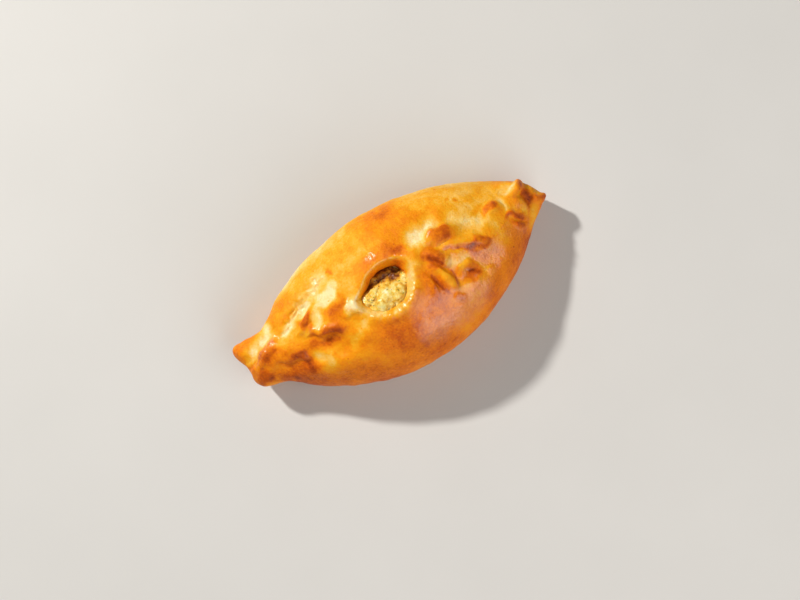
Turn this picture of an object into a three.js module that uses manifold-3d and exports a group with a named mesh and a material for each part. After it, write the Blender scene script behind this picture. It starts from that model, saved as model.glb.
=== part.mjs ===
// A boat-shaped baked piroshki: a pinched crust with an open eye in the middle of its seam,
// and the filling that lies inside it and shows in the eye.
// Millimetres, +Z up, +X along the seam from the forked tail to the horned tip.
import * as THREE from 'three';
import Module from 'manifold-3d';

const { clamp, smoothstep, degToRad } = THREE.MathUtils;

// Driving dimensions of the crust
const HALF_LENGTH = 74.2; // bare body, before the corners of both ends are pulled out
const HALF_WIDTH = 35.2;
const LENS_LENGTH = 75.6; // half length of the lens that gives the plan outline
const LENS_POWER = 0.9;
const TAIL_HEIGHT = 17;
const TAIL_RISE = 26; // how far the ridge rises from each end to the middle
const TAIL_RISE_POWER = 0.95;
const TIP_HEIGHT = 15;
const TIP_RISE = 28;
const TIP_RISE_POWER = 1.15;
const TAIL_HALF_WIDTH = 11;
const TAIL_STARTS = -44; // the lens outline turns into the straight tail between these stations
const TAIL_ENDS = -60;
const TAIL_BLEND = 3;
const TAIL_BEND = 5; // sideways bend of the seam at each end
const TAIL_BEND_POWER = 2.2;
const TIP_BEND = 4;
const TIP_STRAIGHTENS = [64, 82]; // the bend is lost again between these stations
const LIFT_START = 48; // beyond this the underside curves up towards the ends
const END_LIFT = 4;
const MID_SHARE = 0.38; // height of the widest line, as a share of the section
const TOP_POWER = 2.15; // superellipse powers of the section
const UNDER_POWER = 3;
const BASE_SAG = 1.4; // depth that the floor flattens off the round underside
const END_POWER = 16; // how blunt the ends are

// Driving dimensions of the eye and of the filling
const EYE_CENTRE = new THREE.Vector2(-4.3, 3.1);
const EYE_HALF_LENGTH = 12.8;
const EYE_HALF_WIDTH = 9.8;
const EYE_TURN = degToRad(22); // from the seam
const EYE_POINT = 0.06; // share by which its three corners are drawn out
const EYE_POINT_TURN = degToRad(33);
const LIP_HEIGHT = 1.4;
const LIP_SWELL = 1.0; // added on the side where the lip is fullest
const LIP_SWELL_TURN = degToRad(-55);
const LIP_PLACE = 1.18; // in eye radii
const LIP_WIDTH = 0.2;
const EYE_LEVELS = [ // heights of the cut and its width there, in eye radii
  { z: 29, radii: 0.94 },
  { z: 39, radii: 0.95 },
  { z: 44, radii: 1 },
  { z: 55, radii: 1.12 },
];
const FILLING_HALF_LENGTH = 55;
const FILLING_HALF_WIDTH = 25.5;
const FILLING_POWER = 0.85; // how the lens of filling narrows towards its ends, in plan and in height
const FILLING_RISE_POWER = 0.5;
const FILLING_FLOOR = 6.5;
const FILLING_MIDDLE = 16;
const FILLING_TOP = 35;
const FILLING_BEND = 0.9; // follows the bend of the seam
const GAP = 0.3; // between crust and filling
const LUMP_HEIGHT = 1.3;
const LUMP_PITCH = 5.2;
const HEAP_HEIGHT = 4.2; // the filling heaps up in the eye, highest beside the full lip
const HEAP_SHARE = 0.84; // of the eye's radius
const HEAP_SLOPE_STARTS = 0.5; // of its own radius
const HEAP_SINK = 0.6; // its edge dips into the lens below

// Mesh density
const STATIONS = 86;
const STATION_CROWDING = 0.35; // towards both ends
const TOP_STEPS = 40;
const TOP_CROWDING = 0.45; // towards the seam
const UNDER_STEPS = 12;
const UNDER_CROWDING = -0.6; // towards the rounded lower edges
const FILLING_STATIONS = 30;
const FILLING_STEPS = 12; // over the top, and as many under it
const EYE_STEPS = 44;
const EYE_TURNS = Array.from({ length: EYE_STEPS }, (_, i) => (2 * Math.PI * i) / EYE_STEPS);
const HEAP_RINGS = 9;

// Corners that the maker's fingers drew out at both ends: place, reach and movement
const PULLS = [
  { name: 'tail upper corner', at: [-71.2, 13.0, 13], reach: 9.0, move: [-1.6, 1.2, 1.8] },
  { name: 'tail lower corner', at: [-69.2, -3.0, 14], reach: 9.5, move: [-1.6, -1.6, 2.2] },
  { name: 'tip horn', at: [65.2, 10.5, 17], reach: 8.5, move: [1.2, 1.6, 4.5] },
  { name: 'tip point', at: [71.6, 0.0, 10], reach: 8.0, move: [0.6, -1.2, 2.2] },
];

// Folds and hollows of the seam, drawn in plan. left and right are the widths on either side
// of the line, seen along it; a hollow has a height below zero.
const FOLDS = [
  { name: 'shoulder by the eye', path: [[9.5, 8.5], [15, 7], [20, 3]], left: 4.5, right: 5, height: 1.8 },
  { name: 'big tongue', path: [[19, 6.5], [25, 8.5], [30.5, 11.5]], left: 2.6, right: 3.2, height: 3.9 },
  { name: 'lobe by the eye', path: [[15, 5], [19, 3.8], [23, 0.5]], left: 2.8, right: 2.6, height: 2.4 },
  { name: 'narrow ridge', path: [[21, 4.6], [29, 4.2], [37.5, 1.6]], left: 2.6, right: 2.1, height: 2.2 },
  { name: 'ridge knob', path: [[36.5, 0.6], [40.8, -2.2]], left: 2.6, right: 2.4, height: 2.2 },
  { name: 'lower tongue', path: [[12.5, 0.5], [16.5, -4], [18.5, -12]], left: 2, right: 2.6, height: 1.9 },
  { name: 'swirl rim', path: [[30.5, -6.6], [25, -6.4], [24.8, -14]], left: 1.8, right: 1.8, height: 1.4 },
  { name: 'swirl hollow', path: [[28.6, -10.2], [31.2, -11.4]], left: 2.4, right: 2.4, height: -2.4 },
  { name: 'peak', path: [[45.5, 4], [50, 10], [54, 5.5]], left: 2.2, right: 2.2, height: 1.7 },
  { name: 'tip knob', path: [[53.5, 0.5], [57, -0.5], [61, -3]], left: 2.4, right: 2.2, height: 2.2 },
  { name: 'tip seam', path: [[40, 1], [55, 2], [69, 3]], left: 6, right: 6, height: 1.2 },
  { name: 'thumb dent', path: [[8, 16], [15, 17.5], [21, 20]], left: 6, right: 6, height: -2.8 },
  { name: 'plane by ridge', path: [[22, -1.5], [28, -2.5], [36, -5]], left: 4, right: 4, height: -1.6 },
  { name: 'dip before the peak', path: [[34, 6], [42, 7], [46, 12]], left: 4, right: 4, height: -1.4 },
  { name: 'horn', path: [[61.5, 8], [67.2, 11.5]], left: 2.4, right: 2.6, height: 3 },
  { name: 'hollow behind the horn', path: [[65, 6], [68.8, 0.5]], left: 3, right: 3, height: -4 },
  { name: 'seam band', path: [[-17, 4.8], [-25, 4.8], [-33, 3.8]], left: 5, right: 4.5, height: 2 },
  { name: 'overhang', path: [[-44, 3], [-37, 0.5], [-28.5, -4.8]], left: 3.2, right: 2.3, height: 3 },
  { name: 'small bump', path: [[-42, 8.5], [-40.5, 11.8]], left: 2.4, right: 2.2, height: 2.6 },
  { name: 'tail seam', path: [[-40, 4.5], [-52, 3.5], [-61, 5]], left: 5, right: 6, height: 2.2 },
  { name: 'rolled flap', path: [[-55.8, 8.2], [-63, 6.4], [-69, 1.8]], left: 3.6, right: 2.2, height: 2.3 },
  { name: 'cleft', path: [[-72.4, 7.6], [-64, 9.2], [-55.5, 10.6]], left: 2.3, right: 2.3, height: -3.4 },
  { name: 'upper valley', path: [[-56, 10.4], [-50, 11.8], [-43, 14.2]], left: 2.8, right: 2.8, height: -3 },
  { name: 'pale valley', path: [[-43, 14.2], [-37, 17.4], [-28, 22.4]], left: 4.2, right: 3.6, height: -3 },
  { name: 'facet edge', path: [[-17, 19.6], [-22.5, 13.6], [-33, 9.6]], left: 2.4, right: 4.6, height: 1.3 },
  { name: 'lower dimple', path: [[-27, -10], [-33, -12.5], [-40, -12]], left: 3.2, right: 3.2, height: -1 },
];
const FOLD_SEGMENTS = 8;
const SIDE_SOFTNESS = 0.5; // of the narrower width, where one width turns into the other
const RELIEF_FADE = [-0.15, 0.35]; // upward share of the normal over which folds fade in

const CRUST_FINISH = { color: 0xd8851f, roughness: 0.35, metalness: 0 };
const FILLING_FINISH = { color: 0xe6c35c, roughness: 0.6, metalness: 0 };

const wasm = await Module();
wasm.setup();

// Plan outline and profile of the bare dough
function planHalfWidth(x) {
  const lens = HALF_WIDTH * Math.max(0, 1 - (x / LENS_LENGTH) ** 2) ** LENS_POWER;
  if (x > TAIL_STARTS) return lens;
  const tail = TAIL_HALF_WIDTH * (1 - smoothstep(x, TAIL_ENDS, TAIL_STARTS));
  return 0.5 * (lens + tail + Math.hypot(lens - tail, TAIL_BLEND));
}

function seamBend(x) {
  const share = Math.abs(x) / HALF_LENGTH;
  if (x < 0) return TAIL_BEND * share ** TAIL_BEND_POWER;
  return TIP_BEND * share ** 2 * (1 - smoothstep(x, ...TIP_STRAIGHTENS));
}

function ridgeHeight(x) {
  const share = Math.max(0, 1 - (x / HALF_LENGTH) ** 2);
  if (x < 0) return TAIL_HEIGHT + TAIL_RISE * share ** TAIL_RISE_POWER;
  return TIP_HEIGHT + TIP_RISE * share ** TIP_RISE_POWER;
}

function undersideHeight(x) {
  const share = Math.max(0, Math.abs(x) - LIFT_START) / (HALF_LENGTH - LIFT_START);
  return END_LIFT * share ** 2;
}

const superellipse = (angle, power) => [
  Math.sign(Math.cos(angle)) * Math.abs(Math.cos(angle)) ** (2 / power),
  Math.sign(Math.sin(angle)) * Math.abs(Math.sin(angle)) ** (2 / power),
];

// Half a turn in steps that crowd towards its middle, or with a negative crowding towards its ends
const halfTurn = (steps, crowding) =>
  Array.from({ length: steps }, (_, i) => {
    const share = i / steps;
    return Math.PI * share + 0.5 * crowding * Math.sin(2 * Math.PI * share);
  });

const sectionAngles = (topSteps, underSteps, topCrowding, underCrowding) => [
  ...halfTurn(topSteps, topCrowding),
  ...halfTurn(underSteps, underCrowding).map((angle) => Math.PI + angle),
];

function crustPoint(x, angle) {
  const rounding = Math.sqrt(Math.max(0, 1 - Math.abs(x / HALF_LENGTH) ** END_POWER));
  const under = undersideHeight(x);
  const top = ridgeHeight(x);
  const middle = under + MID_SHARE * (top - under);
  const [side, up] = superellipse(angle, Math.sin(angle) > 0 ? TOP_POWER : UNDER_POWER);
  const reach = up > 0 ? top - middle : middle - under + BASE_SAG;
  const y = seamBend(x) + planHalfWidth(x) * rounding * side;
  return new THREE.Vector3(x, y, Math.max(0, middle + reach * rounding * up));
}

// A point on the lens of filling, or on the room for it where grow is the gap round it
function fillingPoint(x, angle, grow) {
  const share = Math.max(0, 1 - (x / (FILLING_HALF_LENGTH + grow)) ** 2);
  const margin = share > 0 ? grow : 0;
  const halfWidth = FILLING_HALF_WIDTH * share ** FILLING_POWER + margin;
  const reach = Math.sin(angle) > 0 ? FILLING_TOP - FILLING_MIDDLE : FILLING_MIDDLE - FILLING_FLOOR;
  const rise = reach * share ** FILLING_RISE_POWER + margin;
  return new THREE.Vector3(
    x,
    seamBend(x) * FILLING_BEND + halfWidth * Math.cos(angle),
    FILLING_MIDDLE + rise * Math.sin(angle),
  );
}

// Closed skin over rings of points that run from one pole to the other
function loft(rings, firstPole, lastPole) {
  const count = rings[0].length;
  const points = [firstPole, ...rings.flat(), lastPole];
  const ringStart = (ring) => 1 + ring * count;
  const index = [];
  for (let k = 0; k < count; k += 1) {
    const next = (k + 1) % count;
    index.push(0, ringStart(0) + next, ringStart(0) + k);
    for (let ring = 0; ring < rings.length - 1; ring += 1) {
      const [near, far] = [ringStart(ring), ringStart(ring + 1)];
      index.push(near + k, near + next, far + next, near + k, far + next, far + k);
    }
    const end = ringStart(rings.length - 1);
    index.push(points.length - 1, end + k, end + next);
  }
  const geometry = new THREE.BufferGeometry().setFromPoints(points);
  geometry.setIndex(index);
  return geometry;
}

// Stations lie closer together towards both ends
function stations(halfLength, count) {
  const places = [];
  for (let i = 1; i < count; i += 1) {
    const even = (2 * i) / count - 1;
    const crowded = -Math.cos((Math.PI * i) / count);
    places.push(halfLength * (even + STATION_CROWDING * (crowded - even)));
  }
  return places;
}

function bodyOfRings(halfLength, count, angles, pointAt) {
  const rings = stations(halfLength, count).map((x) => angles.map((angle) => pointAt(x, angle)));
  return loft(rings, pointAt(-halfLength, 0), pointAt(halfLength, 0));
}

// Height of one fold at a place in plan
function foldCurve({ path }) {
  const [start, through, end] = path.map(([x, y]) => new THREE.Vector2(x, y));
  if (!end) return [start, through];
  const control = through.clone().multiplyScalar(2).addScaledVector(start, -0.5).addScaledVector(end, -0.5);
  return new THREE.QuadraticBezierCurve(start, control, end).getPoints(FOLD_SEGMENTS);
}

function foldHeight(fold, curve, place) {
  let nearest = Infinity;
  let sideOfLine = 0;
  for (let i = 0; i < curve.length - 1; i += 1) {
    const run = curve[i + 1].clone().sub(curve[i]);
    const offset = place.clone().sub(curve[i]);
    const along = clamp(offset.dot(run) / run.lengthSq(), 0, 1);
    const distance = offset.distanceTo(run.clone().multiplyScalar(along));
    if (distance < nearest) {
      nearest = distance;
      sideOfLine = run.cross(offset) / run.length();
    }
  }
  const softness = SIDE_SOFTNESS * Math.min(fold.left, fold.right);
  const leftShare = 0.5 + 0.5 * Math.tanh(sideOfLine / softness);
  const width = fold.right + (fold.left - fold.right) * leftShare;
  return fold.height * Math.exp(-((nearest / width) ** 2));
}

// Where raised folds cross, the higher one wins softly; hollows add up
function blendHeights(heights) {
  const raised = heights.reduce((sum, height) => sum + Math.max(0, height) ** 3, 0);
  const sunk = heights.reduce((sum, height) => sum + Math.min(0, height), 0);
  return Math.cbrt(raised) + sunk;
}

// The eye's outline, and the place of a point in eye radii
function eyeRadiusAt(turn) {
  const along = Math.cos(turn - EYE_TURN) / EYE_HALF_LENGTH;
  const across = Math.sin(turn - EYE_TURN) / EYE_HALF_WIDTH;
  return (1 + EYE_POINT * Math.cos(3 * (turn - EYE_POINT_TURN))) / Math.hypot(along, across);
}

function eyePoint(turn, radii) {
  const radius = radii * eyeRadiusAt(turn);
  return new THREE.Vector3(EYE_CENTRE.x + radius * Math.cos(turn), EYE_CENTRE.y + radius * Math.sin(turn), 0);
}

function eyePlace(x, y) {
  const offset = new THREE.Vector2(x, y).sub(EYE_CENTRE);
  const turn = Math.atan2(offset.y, offset.x);
  return { radii: offset.length() / eyeRadiusAt(turn), turn };
}

function lipHeight(x, y) {
  const { radii, turn } = eyePlace(x, y);
  const swell = LIP_HEIGHT + LIP_SWELL * (0.5 + 0.5 * Math.cos(turn - LIP_SWELL_TURN));
  return swell * Math.exp(-(((radii - LIP_PLACE) / LIP_WIDTH) ** 2));
}

function eachPoint(geometry, move) {
  const position = geometry.getAttribute('position');
  const point = new THREE.Vector3();
  for (let i = 0; i < position.count; i += 1) {
    move(point.fromBufferAttribute(position, i), i);
    position.setXYZ(i, point.x, point.y, point.z);
  }
}

function pullCorners(geometry) {
  for (const { at, reach, move } of PULLS) {
    const centre = new THREE.Vector3(...at);
    const step = new THREE.Vector3(...move);
    eachPoint(geometry, (point) => {
      const share = Math.exp(-((point.distanceTo(centre) / reach) ** 2));
      point.addScaledVector(step, share);
    });
  }
}

function pressFolds(geometry) {
  geometry.computeVertexNormals();
  const normals = geometry.getAttribute('normal');
  const curves = FOLDS.map(foldCurve);
  const normal = new THREE.Vector3();
  eachPoint(geometry, (point, i) => {
    normal.fromBufferAttribute(normals, i);
    const place = new THREE.Vector2(point.x, point.y);
    const upward = smoothstep(normal.z, ...RELIEF_FADE);
    const heights = FOLDS.map((fold, k) => foldHeight(fold, curves[k], place));
    point.addScaledVector(normal, upward * blendHeights(heights));
    point.z = Math.max(0, point.z + upward * lipHeight(point.x, point.y));
  });
}

// The cut that opens the eye, from inside the filling's room to above the ridge
function eyeCutter() {
  const rings = EYE_LEVELS.map(({ z, radii }) => EYE_TURNS.map((turn) => eyePoint(turn, radii).setZ(z)));
  return loft(rings, eyePoint(0, 0).setZ(EYE_LEVELS[0].z), eyePoint(0, 0).setZ(EYE_LEVELS.at(-1).z));
}

// The lumpy heap of filling that shows in the eye
function fillingTopAt(x, y) {
  const share = 1 - (x / FILLING_HALF_LENGTH) ** 2;
  const side = (y - seamBend(x) * FILLING_BEND) / (FILLING_HALF_WIDTH * share ** FILLING_POWER);
  const rise = (FILLING_TOP - FILLING_MIDDLE) * share ** FILLING_RISE_POWER;
  return FILLING_MIDDLE + rise * Math.sqrt(1 - side * side);
}

function lumpHeight(x, y) {
  const wave = (2 * Math.PI) / LUMP_PITCH;
  return LUMP_HEIGHT * Math.sin(wave * x) * Math.cos(wave * y);
}

function heapPoint(share, turn) {
  const { x, y } = eyePoint(turn, HEAP_SHARE * share);
  const fade = 1 - smoothstep(share, HEAP_SLOPE_STARTS, 1);
  const fullSide = 0.5 + 0.5 * share * Math.cos(turn - LIP_SWELL_TURN);
  const rise = fade * (HEAP_HEIGHT * fullSide + lumpHeight(x, y)) - HEAP_SINK * share;
  return new THREE.Vector3(x, y, fillingTopAt(x, y) + rise);
}

function heap() {
  const rings = [EYE_TURNS.map((turn) => heapPoint(1, turn).setZ(FILLING_MIDDLE))];
  for (let ring = HEAP_RINGS; ring > 0; ring -= 1) {
    rings.push(EYE_TURNS.map((turn) => heapPoint(ring / HEAP_RINGS, turn)));
  }
  return loft(rings, eyePoint(0, 0).setZ(FILLING_MIDDLE), heapPoint(0, 0));
}

function toSolid(geometry) {
  const vertProperties = new Float32Array(geometry.getAttribute('position').array);
  const triVerts = new Uint32Array(geometry.getIndex().array);
  return new wasm.Manifold(new wasm.Mesh({ numProp: 3, vertProperties, triVerts }));
}

function toGeometry(solid) {
  const { vertProperties, triVerts } = solid.getMesh();
  const geometry = new THREE.BufferGeometry();
  geometry.setAttribute('position', new THREE.BufferAttribute(vertProperties, 3));
  geometry.setIndex(new THREE.BufferAttribute(triVerts, 1));
  return geometry;
}

function fillingLens(grow) {
  const angles = sectionAngles(FILLING_STEPS, FILLING_STEPS, 0, 0);
  return bodyOfRings(FILLING_HALF_LENGTH + grow, FILLING_STATIONS, angles,
    (x, angle) => fillingPoint(x, angle, grow));
}

function makeCrust() {
  const angles = sectionAngles(TOP_STEPS, UNDER_STEPS, TOP_CROWDING, UNDER_CROWDING);
  const skin = bodyOfRings(HALF_LENGTH, STATIONS, angles, crustPoint);
  pullCorners(skin);
  pressFolds(skin);
  return toGeometry(toSolid(skin).subtract(toSolid(fillingLens(GAP))).subtract(toSolid(eyeCutter())));
}

function makeFilling() {
  return toGeometry(toSolid(fillingLens(0)).add(toSolid(heap())));
}

function named(name, geometry, finish, shift) {
  geometry.translate(shift.x, shift.y, 0);
  geometry.computeVertexNormals();
  const mesh = new THREE.Mesh(geometry, new THREE.MeshStandardMaterial(finish));
  mesh.name = name;
  return mesh;
}

const crust = makeCrust();
crust.computeBoundingBox();
const toOrigin = crust.boundingBox.getCenter(new THREE.Vector3()).negate();

const piroshki = new THREE.Group();
piroshki.add(named('crust', crust, CRUST_FINISH, toOrigin));
piroshki.add(named('filling', makeFilling(), FILLING_FINISH, toOrigin));

export default piroshki;
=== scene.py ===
import math

import bpy
import numpy as np
from mathutils import Matrix, Vector
from mathutils.bvhtree import BVHTree


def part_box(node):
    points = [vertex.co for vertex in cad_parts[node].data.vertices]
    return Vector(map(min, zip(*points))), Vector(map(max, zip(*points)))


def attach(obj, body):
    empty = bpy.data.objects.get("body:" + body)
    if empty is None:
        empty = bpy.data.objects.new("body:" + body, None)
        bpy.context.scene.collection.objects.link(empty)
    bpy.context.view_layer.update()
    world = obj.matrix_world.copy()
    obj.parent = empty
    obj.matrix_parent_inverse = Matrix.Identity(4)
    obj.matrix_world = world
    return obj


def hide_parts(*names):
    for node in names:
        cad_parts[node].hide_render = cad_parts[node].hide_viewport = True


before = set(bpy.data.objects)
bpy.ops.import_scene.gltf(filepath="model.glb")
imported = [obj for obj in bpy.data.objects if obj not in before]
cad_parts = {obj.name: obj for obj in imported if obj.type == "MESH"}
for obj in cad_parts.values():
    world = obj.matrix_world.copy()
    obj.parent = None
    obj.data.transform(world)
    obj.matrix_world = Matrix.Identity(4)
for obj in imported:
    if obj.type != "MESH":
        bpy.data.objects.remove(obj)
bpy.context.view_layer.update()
mm = 0.001
scene = bpy.context.scene
print("frame loaded:", sorted(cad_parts))


# small helpers, all in millimetres until a mesh is written back

def ease(low, high, value):
    share = np.clip((value - low) / (high - low), 0, 1)
    return share * share * (3 - 2 * share)


def bell(distance, width, power=2):
    return np.exp(-np.abs(distance / width) ** power)


def mixed(pair, share):
    return pair[0] + (pair[1] - pair[0]) * share


def deselectAll():
    bpy.ops.object.select_all(action="DESELECT")


def makeActive(piece):
    deselectAll()
    piece.select_set(True)
    bpy.context.view_layer.objects.active = piece


def readPoints(piece):
    flat = np.empty(len(piece.data.vertices) * 3)
    piece.data.vertices.foreach_get("co", flat)
    return flat.reshape(-1, 3)


def writePoints(piece, points):
    piece.data.vertices.foreach_set("co", points.ravel())
    piece.data.update()


def readNormals(piece):
    flat = np.empty(len(piece.data.vertices) * 3)
    piece.data.vertex_normals.foreach_get("vector", flat)
    return flat.reshape(-1, 3)


def writeAttribute(piece, name, values):
    attribute = piece.data.attributes.new(name, "FLOAT", "POINT")
    attribute.data.foreach_set("value", np.clip(values, 0, 1).astype(np.float32))


weightSteps = 20  # a vertex group is written in this many steps


def writeGroup(piece, name, weights):
    group = piece.vertex_groups.new(name=name)
    steps = np.round(np.clip(weights, 0, 1) * weightSteps).astype(int)
    for step in range(1, weightSteps + 1):
        chosen = np.nonzero(steps == step)[0].tolist()
        if chosen:
            group.add(chosen, step / weightSteps, "REPLACE")


def applyModifier(piece, kind, **settings):
    makeActive(piece)
    modifier = piece.modifiers.new(kind.title(), kind)
    for key, value in settings.items():
        setattr(modifier, key, value)
    bpy.ops.object.modifier_apply(modifier=modifier.name)


def roughen(piece, name, size, strength, kind="CLOUDS", group=""):
    texture = bpy.data.textures.new(name, kind)
    texture.noise_scale = size * mm
    applyModifier(piece, "DISPLACE", texture=texture, strength=strength * mm, mid_level=0.5,
                  vertex_group=group)
    bpy.data.textures.remove(texture)


def addSphere(name, rings, segments):
    deselectAll()
    bpy.ops.mesh.primitive_uv_sphere_add(segments=segments, ring_count=rings, radius=1)
    piece = bpy.context.object
    piece.name = piece.data.name = name
    return piece


def addLyingSphere(name, rings, segments):
    piece = addSphere(name, rings, segments)
    bpy.ops.object.mode_set(mode="EDIT")
    bpy.ops.mesh.select_all(action="SELECT")
    quarterTurn = math.pi / 2  # lays the poles along X
    bpy.ops.transform.rotate(value=quarterTurn, orient_axis="Y", center_override=(0, 0, 0))
    bpy.ops.object.mode_set(mode="OBJECT")
    return piece


# the dough's own form, close to the solid's sizes

dough = {
    "halfLength": 74.2, "halfWidth": 35.2, "lensLength": 75.6, "lensPower": 0.9,
    "tailHeight": 17, "tailRise": 26, "tailRisePower": 0.95,
    "tipHeight": 15, "tipRise": 28, "tipRisePower": 1.15,
    "tailHalfWidth": 11, "tailStarts": -44, "tailEnds": -60, "tailBlend": 3,
    "tailBend": 5, "tailBendPower": 2.2, "tipBend": 4, "tipStraightens": (64, 82),
    "liftStart": 48, "endLift": 4, "midShare": 0.38, "topPower": 2.15, "underPower": 3,
    "baseSag": 1.4, "endPower": 16,
    "rings": 366, "segments": 240, "topShare": 0.86, "topCrowding": 0.45, "underCrowding": -0.6,
    "ringCrowding": 0.35,
    "reliefFacing": (-0.15, 0.35), "reliefAxes": (0.6, 0.6, 1.0), "topFacing": 0.2,
    "grainHeight": (2, 10), "grainInEye": (0.7, 0.4),
    "grain": (("slowSwell", 15, 1.3), ("skinLumps", 4.5, 0.4), ("skinGrain", 1.3, 0.10)),
}

cornerPulls = [  # place, reach, movement: corners drawn out and necks pinched in by the fingers
    ((-71.2, 13, 13), 9, (-1.6, 1.2, 1.8)),
    ((-69.2, -3, 14), 9.5, (-1.6, -1.6, 2.2)),
    ((65.2, 10.5, 17), 8, (0.8, 1, 4.5)),
    ((71.6, 0, 10), 8, (0.6, -1.2, 2.2)),
    ((69.5, 6.5, 14), 5, (0.6, 0.8, 1.6)),
    ((-57.5, 18.5, 11), 7.5, (0, -2.4, 0)),
    ((-73, 14.5, 12), 6, (-2.4, 1.6, 0)),
    ((-60.5, -10, 10), 6.5, (0, 3.6, 0)),
    ((63.8, 14.2, 10), 4, (0, -1.1, 0)),
    ((-75, 4.6, 10), 4.4, (2.2, 0, 0)),
]

folds = [  # path in plan, widths to its left and to its right, heights
    # shoulder, tongue, lobe, ridge and its knob
    ([(8.5, 9.5), (13, 8), (17, 6)], (4, 4, 3), (4, 4, 3), (0.6, 1, 0.6)),
    ([(14.6, 8.8), (22, 11.6), (30, 11.4)], (1, 1.3, 1.8), (2.4, 4.4, 5), (0.3, 1.8, 2.8, 2.6)),
    ([(15.8, 7), (19.3, 3.4), (22.2, -0.6)], (2, 2.8, 2.6), (1.6, 2, 2), (0.4, 2, 2.6, 1.6)),
    ([(23.6, 4.9), (31.4, 2.8), (38.6, -0.2)], (1.6, 2.6, 2.8), (1.2, 1.7, 2.2), (0.2, 1.4, 1.8, 2)),
    ([(38.2, -0.6), (41.2, -2.8)], (2.8, 2.6), (2.6, 2.4), (2, 1.9)),
    # curls
    ([(14.6, 2), (18.8, -4.4), (20.2, -12)], (1.2, 1.8, 2.2), (1.2, 2, 2.4), (0.3, 1.9, 2.4, 1.4)),
    ([(11.6, -1.4), (13.2, -5.6), (13.2, -11)], (0.8, 1, 1), (1.6, 2.4, 2.6), (0.2, 1.1, 1.2, 0.4)),
    # swirl
    ([(25.6, -9.4), (27.6, -6.9), (30.8, -7.2)], (1.5, 1.6, 1.5), (1.7, 1.9, 1.9), (0.2, 0.9, 1)),
    ([(30.4, -7), (33, -9.4), (33.4, -13)], 1.5, (1.8, 1.9), (1, 0.8, 0.1)),
    ([(27.6, -14.6), (30.6, -15.4)], 1.4, 1.6, (0.3, 0.6)),
    # blisters
    ([(19, -16.6), (20.8, -17.6)], 1.6, 1.6, (0.7, 0.6)),
    ([(26.6, -17.2), (28.6, -16.8)], 1.2, 1.2, 0.4),
    ([(18.4, -20.2), (19.6, -20.8)], 1.1, 1.1, 0.4),
    # peak
    ([(47.2, 5.8), (50.4, 7.4), (52.6, 7.6)], (2.2, 2.8, 2.8), (2.2, 3, 3), (0.2, 1.3, 1.9)),
    ([(52.6, 7.6), (53.6, 5.8), (53.2, 3.8)], (2.4, 2.2, 1.8), (2.6, 2.4, 2), (1.9, 1, 0.2)),
    # lips
    ([(54.2, 1.4), (58, 0.8), (61.4, -3.6)], (1.8, 2.2, 1.8), (0.9, 1.1, 1.1), (0.3, 2, 2, 0.7)),
    ([(55, -2.4), (57.8, -4), (60.8, -6)], (0.9, 1.1, 1), (1.8, 2.2, 1.8), (0.3, 1.5, 1.3, 0.4)),
    # seam to the tip, horn, block of the tip
    ([(40, 1), (55, 2), (66, 3.5)], 6, 6, (0.4, 1, 0.8)),
    ([(59.6, 8), (63.6, 9.5), (67, 10.8)], (0.8, 0.9, 1), (2.4, 2.8, 2.6), (0.2, 2.1, 3.4, 2.9)),
    ([(71, 0.9), (73.4, 0.3)], 2.2, 2.2, (2, 1.8)),
    # seam to the tail, left corner of the eye
    ([(-17, 4.8), (-25, 5.4), (-33, 4.2)], 5, 4.5, (0.1, 0.9, 1.6)),
    ([(-25, 2.9), (-19.6, 2.9)], 3.2, 2.8, (1.2, 2.2)),
    ([(-24.6, 6.6), (-29, 5.2), (-34.6, 3)], 2, 2, (0.5, 1.2, 0.5)),
    # overhang and finger
    ([(-46, 4.6), (-37.4, 2), (-27, -4)], (2.4, 3, 2.8), (1.6, 1.9, 2), (0.2, 2.4, 2.8, 2.3, 0.2)),
    ([(-48.4, 4.2), (-43.6, 8.2), (-39.8, 10.4)], (1, 1.2, 1.5), (2, 3, 3.2), (0.2, 1.6, 2.7, 2.7)),
    # roll of the tail, its edge and its flap
    ([(-46, 2), (-55, 3.4), (-63, 3)], (4, 4.4, 4.6), (4, 4.2, 4.4), (0.4, 1.6, 1.6)),
    ([(-63.6, 1.6), (-56, 0.2), (-47.5, -4)], (4.4, 4.4, 4), (2, 2.2, 2), (0.6, 1.6, 1.5, 0.2)),
    ([(-54.8, 8.8), (-61.8, 7.4), (-68.4, 3.8)], (3.4, 4, 4), (0.8, 0.9, 1), (0.3, 2.4, 2.9, 2.2)),
    ([(-67, 4.2), (-71, 2), (-73.4, -0.4)], 3.4, (1.2, 1.4), (2.2, 2, 1)),
    # lower and upper lobe
    ([(-66, 0.5), (-69.5, -1.5), (-71.6, -3)], 3.4, 3.4, (1, 1.2)),
    ([(-64, 13.4), (-69, 13.8), (-73, 13)], (3.4, 3.6), (2.4, 2.6), (0.3, 1, 0.8)),
    # facet's edge
    ([(-21.6, 16), (-26.6, 9.4), (-34.6, 8.8)], 4, 0.8, (0.3, 1.7, 1.4, 0.2)),
    # soft bulges
    ([(-41, -10), (-36, -15), (-29, -17)], 3.4, 3.4, (0.5, 1, 0.5)),
    ([(-27, -7), (-20, -11), (-13, -14)], 3.4, 3.4, (0.4, 0.8, 0.3)),
    ([(-52, -9), (-46, -12)], 3, 3, (0.6, 0.8)),
]

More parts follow.
